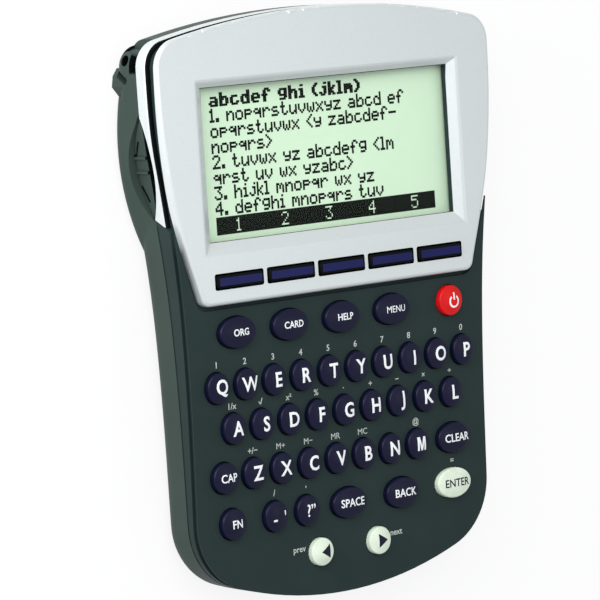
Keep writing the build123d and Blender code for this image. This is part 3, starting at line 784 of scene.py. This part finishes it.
@dataclass
class KeyCap:
    """One domed oval key with its legend."""

    node: str
    kind: KeyKind
    flange_lap: float = 0.4 * MM    # the CAD node is this much wider than the cap on each side
    dome: float = 0.40 * MM         # height of the domed top
    dome_rings: tuple[float, ...] = (0.86, 0.7, 0.52, 0.34, 0.17)   # as shares of its size
    dome_reach: float = 1.6         # legends follow the dome to this square of its half size
    shoulder: float = 0.45 * MM     # rounding between wall and top
    shoulder_steps: int = 6
    around: int = 48
    letter_cap: float = 3.0 * MM
    letter_bold: float = 0.095 * MM
    wide_bold: float = 0.06 * MM    # strokes of the W are thickened less
    letter_narrow: float = 0.93
    word_cap: float = 1.7 * MM
    word_bold: float = 0.035 * MM
    word_narrow: float = 0.95
    top_cap: float = 1.42 * MM      # the words of the upper row are smaller
    sign_cap: float = 2.55 * MM     # and the two keys of signs have larger ones
    shift: float = 0.5 * MM         # legends are printed this far right of the middle

    def __post_init__(self) -> None:
        """Take the place and size from the CAD node."""
        low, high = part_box(self.node)
        self.low, self.high = low.z, high.z
        self.middle = plan_middle(self.node)
        self.half_x = (high.x - low.x) / 2 - self.flange_lap
        self.half_y = (high.y - low.y) / 2
        self.top_x, self.top_y = self.half_x - self.shoulder, self.half_y - self.shoulder

    def profile(self) -> list[tuple[float, float, float]]:
        """Work out the rings of the cap.

        Returns:
            Half width, half length and height of every ring, from the bottom up.
        """
        top_edge = self.high - self.dome
        rings = [(self.half_x, self.half_y, height)
                 for height in (self.low, (self.low + top_edge) / 2, top_edge - self.shoulder)]
        for number in range(1, self.shoulder_steps + 1):
            angle = math.pi / 2 * number / self.shoulder_steps
            inset = self.shoulder * (1 - math.cos(angle))
            rings.append((self.half_x - inset, self.half_y - inset,
                          top_edge - self.shoulder * (1 - math.sin(angle))))
        return rings + [(self.top_x * share, self.top_y * share, self.high - self.dome * share ** 2)
                        for share in self.dome_rings]

    def top_height(self, x: float, y: float) -> float:
        """Return the height of the domed top at a place."""
        reach = ((x - self.middle.x) / self.top_x) ** 2 + ((y - self.middle.y) / self.top_y) ** 2
        return self.high - self.dome * min(reach, self.dome_reach)

    def build(self) -> bpy.types.Object:
        """Build the cap and let it ride on its own body.

        Returns:
            The cap.
        """
        work = bmesh.new()
        rings = [[work.verts.new((x + self.middle.x, y + self.middle.y, height))
                  for x, y in ring_points(half_x, half_y, self.around)]
                 for half_x, half_y, height in self.profile()]
        for below, above in zip(rings, rings[1:]):
            bridge(work, below, above)
        crown = work.verts.new((self.middle.x, self.middle.y, self.high))
        for here in range(self.around):
            work.faces.new((rings[-1][here], rings[-1][(here + 1) % self.around], crown))
        work.faces.new(list(reversed(rings[0])))
        for face in work.faces:
            face.smooth = len(face.verts) < self.around
        cap = add_object(f"{self.node}_cap", closed(work), KEY_FINISH[self.kind])
        seat(cap, self.node, slot_of(self.node), self.node)
        self.print_legend()
        return cap

    def print_legend(self) -> None:
        """Print the key's letter, word or sign."""
        name = self.node.removeprefix("key_")
        place = self.middle + Vector((self.shift, 0, 0))
        if name == "power":
            mesh = self.power_sign(place)
        elif name in ("prev", "next"):
            mesh = self.arrow(place, -1 if name == "prev" else 1)
        elif name == "m":
            mesh = self.shape([(x * self.letter_cap, y * self.letter_cap) for x, y in LETTER_M], place)
        elif len(name) == 1:
            mesh = lettering.mesh(name.upper(), self.letter_cap,
                                  self.wide_bold if name == "w" else self.letter_bold, place,
                                  self.top_height, self.letter_narrow)
        else:
            caps = {**dict.fromkeys(("org", "card", "help", "menu"), self.top_cap),
                    **dict.fromkeys(("dash", "question"), self.sign_cap)}
            mesh = lettering.mesh(KEY_WORDS[name], caps.get(name, self.word_cap), self.word_bold, place,
                                  self.top_height, self.word_narrow)
        pale = self.kind is KeyKind.PALE
        legend = add_object(f"{self.node}_legend", mesh, DARK_INK if pale else WHITE_INK)
        seat(legend, self.node, "menu_bar" if pale else "key_pale")

    def shape(self, points: Outline, place: Vector) -> bpy.types.Mesh:
        """Lay a flat outline on the domed top."""
        return lettering.lay(flat_shape(points), place, self.top_height)

    def power_sign(self, place: Vector) -> bpy.types.Mesh:
        """Make a broken ring with a bar in its gap.

        Args:
            place: its middle in plan.

        Returns:
            The mesh, laid on the domed top.
        """
        outer, stroke, count, start, sweep = 1.45 * MM, 0.42 * MM, 28, 125, 290
        outline, inner = (ring_points(reach, reach, count, start, sweep) for reach in (outer, outer - stroke))
        half, low, high = stroke / 2, 0.35 * MM, 1.95 * MM
        bar = flat_shape([(-half, low), (half, low), (half, high), (-half, high)])
        sign = closed(opened(flat_shape(outline, inner=inner), bar))
        return lettering.lay(sign, place, self.top_height)

    def arrow(self, place: Vector, side: int) -> bpy.types.Mesh:
        """Make a triangle that points to one side.

        Args:
            place: its middle in plan.
            side: 1 for right and -1 for left.

        Returns:
            The mesh, laid on the domed top.
        """
        half, reach = 1.55 * MM, 1.25 * MM
        points = [(reach * side, 0), (-reach * side, half * side), (-reach * side, -half * side)]
        return self.shape(points, place)


@dataclass
class MenuBar:
    """One of the long bars under the display: a bar with rounded edges over a flange, painted shade on its
    edges and sides.
    """

    node: str
    edge: float = 0.5 * MM
    corner: float = 0.7 * MM        # rounding of the four upright edges
    steps: int = 4
    flat: float = 0.999             # faces whose normals rise by this are shaded flat
    top: float = 0.99               # faces whose normals rise by less than this get painted shade: the edges and sides
    flange_lap: float = 0.4 * MM    # the flange reaches this far past each end of the bar
    flange_tall: float = 0.6 * MM

    def build(self) -> bpy.types.Object:
        """Build the bar and let it ride on its own body.

        Returns:
            The bar.
        """
        low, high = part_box(self.node)
        middle, half = box_of(self.node)
        lap = self.flange_lap
        work = bmesh.new()
        add_box(work, middle, (2 * (half.x - lap), 2 * half.y, 2 * half.z))
        upright = [edge for edge in work.edges if abs(edge.verts[0].co.z - edge.verts[1].co.z) > half.z]
        self.soften(work, upright, self.corner)
        rim = [edge for edge in work.edges if all(vert.co.z > high.z - WELD for vert in edge.verts)]
        self.soften(work, rim, self.edge)
        add_box(work, Vector((middle.x, middle.y, low.z + self.flange_tall / 2)),
                (2 * half.x, 2 * half.y - lap, self.flange_tall))
        for face in work.faces:
            face.smooth = abs(face.normal.z) < self.flat
        bar = add_object(f"{self.node}_bar", closed(work), BAR_KEY)
        # painted shade on the bar's edges and sides
        paint_shade(bar, lambda face: face.normal.z < self.top)
        return seat(bar, self.node, slot_of(self.node), self.node)

    def soften(self, work: bmesh.types.BMesh, edges: list[bmesh.types.BMEdge], offset: float) -> None:
        """Round some edges of the bar."""
        bmesh.ops.bevel(work, geom=edges, offset=offset, segments=self.steps, profile=0.5, affect="EDGES")


@dataclass
class Keyboard:
    """All keys, their legends and the small print between them."""

    print_cap: float = 1.3 * MM
    print_bold: float = 0.025 * MM
    digit: tuple[float, float] = (0.3 * MM, 4.9 * MM)       # a digit's place from its key
    sign: tuple[float, float] = (0.3 * MM, 4.75 * MM)
    low_sign: tuple[float, float] = (0.4 * MM, 4.95 * MM)
    word: tuple[float, float] = (5.6 * MM, 0.9 * MM)        # a word's place beside a round key
    key_rise: float = 1.7 * MM      # key tops stand this far above the face
    rows: dict[str, list[str]] = field(default_factory=lambda: {
        "qwertyuiop": list("1234567890"),
        "asdfghjkl": ["1/x", "√", "x²", "%", "·", "+", "−", "×", "÷"],
        "zxcvbnm": ["+/−", "M+", "M−", "MR", "MC", "", "@"],
    })

    def build(self) -> None:
        """Build every key and the print on the face."""
        for node in sorted(frame["nodes"]):
            if node.startswith("key_soft"):
                MenuBar(node).build()
            elif node.startswith("key_") and node != "key_mat":
                KeyCap(node, self.kind(node)).build()
        self.print_face()

    @staticmethod
    def kind(node: str) -> KeyKind:
        """Tell what a key looks like.

        Args:
            node: the key's node.

        Returns:
            Its kind.
        """
        if node == "key_power":
            return KeyKind.POWER
        return KeyKind.PALE if node in ("key_enter", "key_prev", "key_next") else KeyKind.NAVY

    def face_surface(self) -> Callable[[float, float], float]:
        """Work out the tilted keyboard face from two keys that stand on it.

        Returns:
            Its height at a place in plan.
        """
        top_a, top_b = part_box("key_help")[1].z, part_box("key_prev")[1].z
        y_a, y_b = plan_middle("key_help").y, plan_middle("key_prev").y
        slope = (top_a - top_b) / (y_a - y_b)
        return lambda x, y: top_a - self.key_rise + (y - y_a) * slope

    def print_face(self) -> None:
        """Print the digits, signs and two words on the face."""
        words = [(sign, f"key_{letter}", self.digit if signs[0] == "1" else self.sign)
                 for letters, signs in self.rows.items() for letter, sign in zip(letters, signs) if sign]
        words += [(sign, node, self.low_sign)
                  for node, sign in (("key_dash", "/"), ("key_question", ","), ("key_enter", "="))]
        words += [(sign, f"key_{sign}", (side * self.word[0], self.word[1]))
                  for sign, side in (("prev", -1), ("next", 1))]
        surface = self.face_surface()
        prints = [lettering.mesh(sign, self.print_cap, self.print_bold,
                                 plan_middle(node) + Vector((*offset, 0)), surface)
                  for sign, node, offset in words]
        seat(add_object("face_print", closed(opened(*prints)), PRINT_INK), CASE, "key_pale")


# ------------------------------------------------------------------------------ display
# Each sign is five columns of dots from left to right, one byte each, its lowest bit at the top.
DOTS = {
    "a": "2054545478", "b": "7f48444438", "c": "3844444420", "d": "384444487f", "e": "3854545418",
    "f": "087e090102", "g": "0c5252523e", "h": "7f08040478", "i": "00447d4000", "j": "2040443d00",
    "k": "7f10284400", "l": "00417f4000", "m": "7c04180478", "n": "7c08040478", "o": "3844444438",
    "p": "7c14141408", "q": "081414187c", "r": "7c08040408", "s": "4854545420", "t": "043f444020",
    "u": "3c4040207c", "v": "1c2040201c", "w": "3c4030403c", "x": "4428102844", "y": "0c5050503c",
    "z": "4464544c44", "0": "3e5149453e", "1": "00427f4000", "2": "4261514946", "3": "2141454b31",
    "4": "1814127f10", "5": "2745454539", "6": "3c4a494930", "7": "0171090503", "8": "3649494936",
    "9": "064949291e", "(": "001c224100", ")": "0041221c00", ".": "0060600000", "-": "0808080808",
    "<": "0814224100", ">": "0041221408",
}
SIGN_ROWS = 8                       # rows of dots in a sign
SPACE_COLUMNS = 4                   # columns of a space


@dataclass
class DotScreen:
    """The display's picture: rows of plain letters in dots, over a dark bar with numbers."""

    dot: float = 0.41 * MM          # pitch of the dots
    fill: float = 1.25              # size of a dot against the pitch, as the ink spreads
    thick: float = 0.05             # thickness of a dot against its size
    lines: tuple[str, ...] = ("abcdef ghi (jklm)", "1. nopqrstuvwxyz abcd ef",
                              "opqrstuvwx <y zabcdef-", "nopqrs>", "2. tuvwx yz abcdefg <lm",
                              "qrst uv wx yzabc>", "3. hijkl mnopqr wx yz", "4. defghi mnopqrs tuv")
    bar_rows: int = 9
    labels: tuple[str, ...] = ("1", "2", "3", "4", "5")
    label_half: int = 2             # dots from a label's left side to its middle
    across: int = 150               # dots across the bar

    @staticmethod
    def columns(sign: str, bold: bool) -> list[int]:
        """Work out the columns of one sign with the gap after it.

        Args:
            sign: the sign.
            bold: whether its strokes are doubled.

        Returns:
            One number a column, its lowest bit at the top.
        """
        if sign == " ":
            return [0] * SPACE_COLUMNS
        given = list(bytes.fromhex(DOTS[sign]).strip(b"\0"))
        if bold:
            given = [a | b for a, b in zip(given + [0], [0] + given)]
        return given + [0]

    def text_dots(self, text: str, left: int, upper: int, bold: bool = False) -> set[tuple[int, int]]:
        """Return the dots of a line of text, as column and row on the display.

        Args:
            text: the line.
            left: its first column.
            upper: its first row.
            bold: whether its strokes are doubled.

        Returns:
            The dots.
        """
        columns = [column for sign in text for column in self.columns(sign, bold)]
        return {(left + at, upper + row) for at, column in enumerate(columns) for row in range(SIGN_ROWS)
                if column >> row & 1 and left + at < self.across}

    def build(self, top: float, left: float, upper: float) -> bpy.types.Object:
        """Build the dots as one piece.

        Args:
            top: height of the display's surface.
            left: left edge of the picture.
            upper: upper edge of the picture.

        Returns:
            The piece.
        """
        bar_top = len(self.lines) * SIGN_ROWS
        cells = {(column, bar_top + row) for column in range(self.across) for row in range(self.bar_rows)}
        for number, text in enumerate(self.lines):
            cells |= self.text_dots(text, 0, number * SIGN_ROWS, number == 0)
        for number, label in enumerate(self.labels):
            middle = round(self.across * (number + 0.5) / len(self.labels))
            cells -= self.text_dots(label, middle - self.label_half, bar_top + 1)
        points = [Vector((left + (column + 0.5) * self.dot, upper - (row + 0.5) * self.dot, top))
                  for column, row in sorted(cells)]
        template = flat_shape([(-0.5, -0.5), (0.5, -0.5), (0.5, 0.5), (-0.5, 0.5)], self.thick)
        piece = Scatter("display dots").run("display_dots", points, template, self.dot * self.fill, DOT_INK)
        return seat(piece, CASE, "menu_bar")


@dataclass
class Display:
    """Silver plate, window, display module and its picture."""

    picture_inset: float = 3.7 * MM     # the picture starts this far in from the window opening
    picture_drop: float = 1.3 * MM
    window_lap: float = 1.35 * MM       # the window reaches this far under the opening's edge
    film: float = 0.02 * MM             # the dots stand this far above the display
    window_air: float = 0.06 * MM       # the air between the display and the window
    slot_reach: float = 0.9 * MM        # the walls of the bars' slots get painted shade up to this far from the bars
    upright: float = 0.5                # faces whose normals rise by less than this are a slot's walls

    def build(self) -> None:
        """Build the display's pieces."""
        bezel = polished_copy("display_bezel", SILVER)
        first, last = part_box("key_soft_1")[0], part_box("key_soft_5")[1]
        reach = self.slot_reach
        # painted shade on the walls of the bars' slots
        paint_shade(bezel, lambda face: abs(face.normal.z) < self.upright
               and first.x - reach < face.center.x < last.x + reach
               and first.y - reach < face.center.y < last.y + reach)
        self.build_window()
        dress("lcd_module", DISPLAY)
        low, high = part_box("display_window")
        DotScreen().build(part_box("lcd_module")[1].z + self.film, low.x + self.window_lap + self.picture_inset,
                          high.y - self.window_lap - self.picture_drop)

    def build_window(self) -> bpy.types.Object:
        """Build the window, its underside just clear of the display under it.

        Returns:
            The pane.
        """
        node = "display_window"
        mesh = frame["nodes"][node].data.copy()
        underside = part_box(node)[0].z + self.window_air
        for vertex in mesh.vertices:
            vertex.co.z = max(vertex.co.z, underside)
        return seat(add_object("display_window_pane", mesh, WINDOW), CASE, slot_of(node), node)


# ------------------------------------------------------------------------------ shells
@dataclass
class ScrewHead:
    """A small cross-head screw, seen from below."""

    radius: float = 1.9 * MM
    head: float = 1.3 * MM
    rounding: float = 0.25 * MM
    slot_half: float = 0.32 * MM
    slot_reach: float = 1.15 * MM
    slot_deep: float = 0.7 * MM
    slot_floor: float = 0.6         # size of the recess at its floor against its mouth
    around: int = 24
    shank: float = 0.9 * MM

    def template(self, length: float) -> bpy.types.Mesh:
        """Return the screw with its head's face down and its middle at the origin.

        Args:
            length: length of the whole screw.

        Returns:
            The mesh.
        """
        low = -length / 2
        work = bmesh.new()
        sides = ((self.radius - self.rounding, low), (self.radius, low + self.rounding),
                 (self.radius, low + self.head), (self.shank, low + self.head), (self.shank, -low))
        rings = [[work.verts.new((x, y, height)) for x, y in ring_points(reach, reach, self.around)]
                 for reach, height in sides]
        for below, above in zip(rings, rings[1:]):
            bridge(work, below, above)
        work.faces.new(rings[-1])
        mouth, floor = ([work.verts.new((x * size, y * size, height)) for x, y in self.cross()]
                        for size, height in ((1, low), (self.slot_floor, low + self.slot_deep)))
        bridge(work, mouth, floor)
        work.faces.new(floor)
        edges = [work.edges.get((loop[at], loop[(at + 1) % len(loop)])) for loop in (rings[0], mouth)
                 for at in range(len(loop))]
        bmesh.ops.triangle_fill(work, use_beauty=True, edges=edges)
        return closed(work, outwards=True)

    def cross(self) -> Outline:
        """Work out the cross recess.

        Returns:
            Its outline, anticlockwise.
        """
        half, reach = self.slot_half, self.slot_reach
        points = []
        for cos, sin in ((1, 0), (0, 1), (-1, 0), (0, -1)):
            points += [(x * cos - y * sin, x * sin + y * cos)
                       for x, y in ((reach, -half), (reach, half), (half, half))]
        return points


class Recess:
    """Tells how deep in a recess a face of some CAD nodes lies."""

    rays: int = 32
    turn: float = 2.399963          # angle from one ray to the next, which spreads them evenly
    reach: float = 3.0 * MM
    lift: float = 0.02 * MM         # the rays start this far off the face

    def __init__(self, *nodes: str) -> None:
        """Gather the meshes that the rays may hit.

        Args:
            nodes: the CAD nodes.
        """
        work = opened(*(frame["nodes"][node].data for node in nodes))
        self.tree = BVHTree.FromBMesh(work)
        work.free()

    def share(self, face: bpy.types.MeshPolygon) -> float:
        """Return the share of the rays from a face that soon hit something.

        Args:
            face: the face.

        Returns:
            0 for an open face, near 1 deep in a hole.
        """
        lean = Vector((0, 0, 1)).rotation_difference(face.normal)
        start = face.center + face.normal * self.lift
        hits = 0
        for number in range(self.rays):
            height = math.sqrt((number + 0.5) / self.rays)
            angle, out = number * self.turn, math.sqrt(1 - height * height)
            way = lean @ Vector((out * math.cos(angle), out * math.sin(angle), height))
            hits += self.tree.ray_cast(start, way, self.reach)[0] is not None
        return hits / self.rays


@dataclass
class Housing:
    """Front case, back case, side band, cell door, rocker and screws."""

    band_shade: float = 0.28 * MM   # the band's upper edge gets painted shade down to this far under it
    corner: tuple[float, float] = (9.5 * MM, 11.0 * MM)     # width and length of the strap corner
    hidden: float = 0.36            # faces more hidden than this get painted shade, in the strap corner and the rocker's grooves
    rocker_top: float = 0.6         # where the rocker's normals rise by more, its upper side gets painted shade under the band
    rocker_fall: float = 1.0 * MM   # the rocker's upper edge is drawn down by this in the middle
    mark_wide: float = 0.55 * MM
    mark_steps: int = 12
    mark_sides: tuple[float, float] = (-0.02 * MM, 0.3 * MM)    # outwards and into the rocker
    far_left: float = -100 * MM     # rays that look for the rocker start here, outside the device
    marks: tuple[tuple[float, float, float, float], ...] = (    # place, height, length, lean in degrees
        (4.15 * MM, 6.0 * MM, 3.5 * MM, 24.4), (-5.35 * MM, 6.4 * MM, 3.9 * MM, -28.5))

    def build(self) -> None:
        """Build the shells and what is fitted in them."""
        polished_copy("front_case", FACE_PLASTIC)
        low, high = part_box("side_band")
        recess = Recess("back_case", "side_band")
        back = polished_copy("back_case", BACK_PLASTIC)
        # painted shade in the strap corner's recesses, where few rays get out
        paint_shade(back, lambda face: face.center.x < low.x + self.corner[0]
               and face.center.y > high.y - self.corner[1] and recess.share(face) > self.hidden)
        band = polished_copy("side_band", SILVER)
        # painted shade on the band's upper edge, in the groove under the plate
        paint_shade(band, lambda face: face.center.z > high.z - self.band_shade)
        polished_copy("battery_door", BACK_PLASTIC, "battery_door")
        rocker = polished_copy("scroll_rocker", BACK_PLASTIC, "scroll_rocker")
        grooves = Recess("scroll_rocker")
        # painted shade on the rocker's upper side under the band and in its grooves
        paint_shade(rocker, lambda face: face.normal.z > self.rocker_top or grooves.share(face) > self.hidden)
        self.draw_down(rocker)
        # dark strips of painted shade in the rocker's two marks
        self.shade_rocker_marks(grooves.tree)
        low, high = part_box("case_screws")
        screws = Scatter("case screws").run("case_screws_set", island_middles("case_screws"),
                                            ScrewHead().template(high.z - low.z), 1.0, STEEL)
        seat(screws, CASE, slot_of("case_screws"), "case_screws")
        for node, finish in (("main_board", BOARD), ("key_mat", MAT), ("batteries", CELL_STEEL),
                             ("battery_contacts", GOLD), ("card_connector", CONNECTOR)):
            dress(node, finish)

    def draw_down(self, rocker: bpy.types.Object) -> None:
        """Lower the rocker's upper edge, which leaves a dark gap under the band.

        Args:
            rocker: the rocker's copy.
        """
        middle, half = box_of("scroll_rocker")
        for vert in rocker.data.vertices:
            along = (vert.co.y - middle.y) / half.y
            rise = max(vert.co.z - middle.z, 0.0) / half.z
            vert.co.z -= self.rocker_fall * rise * (1 - along * along)

    def shade_rocker_marks(self, tree: BVHTree) -> None:
        """Fill the rocker's two slanted marks with painted shade, a little wider than they are cut.

        Args:
            tree: the rocker's own faces.
        """
        work = bmesh.new()
        middle = box_of("scroll_rocker")[0]
        out, into = self.mark_sides
        for place, height, long, lean in self.marks:
            turn = math.radians(lean)
            along = Vector((0, math.cos(turn), math.sin(turn)))
            across = Vector((0, -math.sin(turn), math.cos(turn))) * self.mark_wide
            rows = []
            for step in range(self.mark_steps + 1):
                spot = Vector((0, middle.y + place, height)) + along * long * (step / self.mark_steps - 0.5)
                skin = min(self.skin(tree, spot - across), self.skin(tree, spot + across))
                lower, upper = spot - across / 2, spot + across / 2
                rows.append([work.verts.new((skin + deep, corner.y, corner.z)) for deep, corner in (
                    (out, lower), (out, upper), (into, upper), (into, lower))])
            for here, there in zip(rows, rows[1:]):
                bridge(work, here, there)
            work.faces.new(rows[0])
            work.faces.new(rows[-1])
        marks = add_object("rocker_marks", closed(work, outwards=True), PAINTED_SHADE)
        seat(marks, "scroll_rocker", slot_of("scroll_rocker"))

    def skin(self, tree: BVHTree, spot: Vector) -> float:
        """Return where the rocker's outer face lies at a place, or the device's middle if it has none."""
        hit = tree.ray_cast(Vector((self.far_left, spot.y, spot.z)), Vector((1, 0, 0)))[0]
        return hit.x if hit else 0.0


# ------------------------------------------------------------------------------ studio
@dataclass
class Studio:
    """Pale floor, soft light and the camera."""

    camera_place: Place = (-0.532541, 0.082616, 0.650794)
    look: Place = (0.630638, -0.098612, -0.769786)
    up: Place = (0.112298, 0.993050, -0.035215)
    lens: float = 232.2             # in millimetres, as is the sensor's width
    sensor: float = 36.0
    clip: tuple[float, float] = (0.01, 50.0)
    floor_half: float = 4.0
    floor_drop: float = 0.05 * MM
    floor_white: float = 0.9
    floor_glow: float = 0.85        # share of the floor that is plain white to the camera
    world_colour: Colour = (0.96, 0.98, 1.0)
    world_level: float = 0.62

    def build(self) -> None:
        """Build the whole set."""
        self.add_camera()
        self.add_floor()
        self.add_world()
        self.add_lamp("softbox_upper", (-0.24, 0.24, 0.36), (-0.01, 0.03, 0.0), 0.4, 1.5)
        self.add_lamp("softbox_left", (-0.48, 0.22, 0.12), (-0.04, 0.02, 0.01), 0.3, 1.6)
        self.add_lamp("softbox_far", (0.26, -0.02, 0.48), (0.0, 0.02, 0.0), 0.18, 0.10)

    def add_camera(self) -> None:
        """Add the camera at the place and lean that it has."""
        data = bpy.data.cameras.new("camera")
        data.lens, data.sensor_width = self.lens, self.sensor
        data.clip_start, data.clip_end = self.clip
        back = -Vector(self.look).normalized()
        side = Vector(self.up).cross(back).normalized()
        turn = Matrix((side, back.cross(side), back)).transposed()
        camera = place_object("camera", data)
        camera.matrix_world = Matrix.Translation(self.camera_place) @ turn.to_4x4()
        bpy.context.scene.camera = camera

    def add_floor(self) -> None:
        """Add a pale floor that is close to white for the camera and keeps the shadow."""
        half = self.floor_half
        mesh = bpy.data.meshes.new("floor")
        corners = [(x * half, y * half, -self.floor_drop) for x, y in ((-1, -1), (1, -1), (1, 1), (-1, 1))]
        mesh.from_pydata(corners, [], [(0, 1, 2, 3)])
        recipe = Recipe("floor_white")
        paint = recipe.node("ShaderNodeBsdfDiffuse", sockets={"Color": (self.floor_white,) * 3 + (1,)})
        glow = recipe.node("ShaderNodeEmission", sockets={"Color": (1, 1, 1, 1), "Strength": 1.0})
        camera, glossy, through = (recipe.node("ShaderNodeLightPath", output=f"Is {ray} Ray")
                                   for ray in ("Camera", "Glossy", "Transmission"))
        seen = (camera + glossy + through) * self.floor_glow
        mixed = recipe.node("ShaderNodeMixShader", sockets={0: seen, 1: paint, 2: glow})
        mesh.materials.append(recipe.finish(mixed))
        floor = place_object("floor", mesh)

    def add_world(self) -> None:
        """Add the even light of a white room."""
        world = bpy.data.worlds.new("room")
        world.use_nodes = True
        background = world.node_tree.nodes["Background"].inputs
        background["Color"].default_value = (*self.world_colour, 1)
        background["Strength"].default_value = self.world_level
        bpy.context.scene.world = world

    @staticmethod
    def add_lamp(name: str, place: Place, aim: Place, size: float, watts: float) -> None:
        """Add one square softbox.

        Args:
            name: name of the lamp.
            place: where it hangs.
            aim: the point that it faces.
            size: length of its side.
            watts: its power.
        """
        data = bpy.data.lights.new(name, "AREA")
        data.shape = "SQUARE"
        data.size = size
        data.energy = watts
        lamp = place_object(name, data)
        lamp.location = place
        lamp.rotation_euler = (Vector(aim) - Vector(place)).to_track_quat("-Z", "Y").to_euler()


def main() -> None:
    """Build the set and the object, sub-assembly by sub-assembly."""
    logging.basicConfig(level=logging.INFO, format="%(message)s")
    bpy.context.scene.view_settings.view_transform = "Standard"
    Studio().build()
    Housing().build()
    Display().build()
    Keyboard().build()


if __name__ == "__main__":
    main()
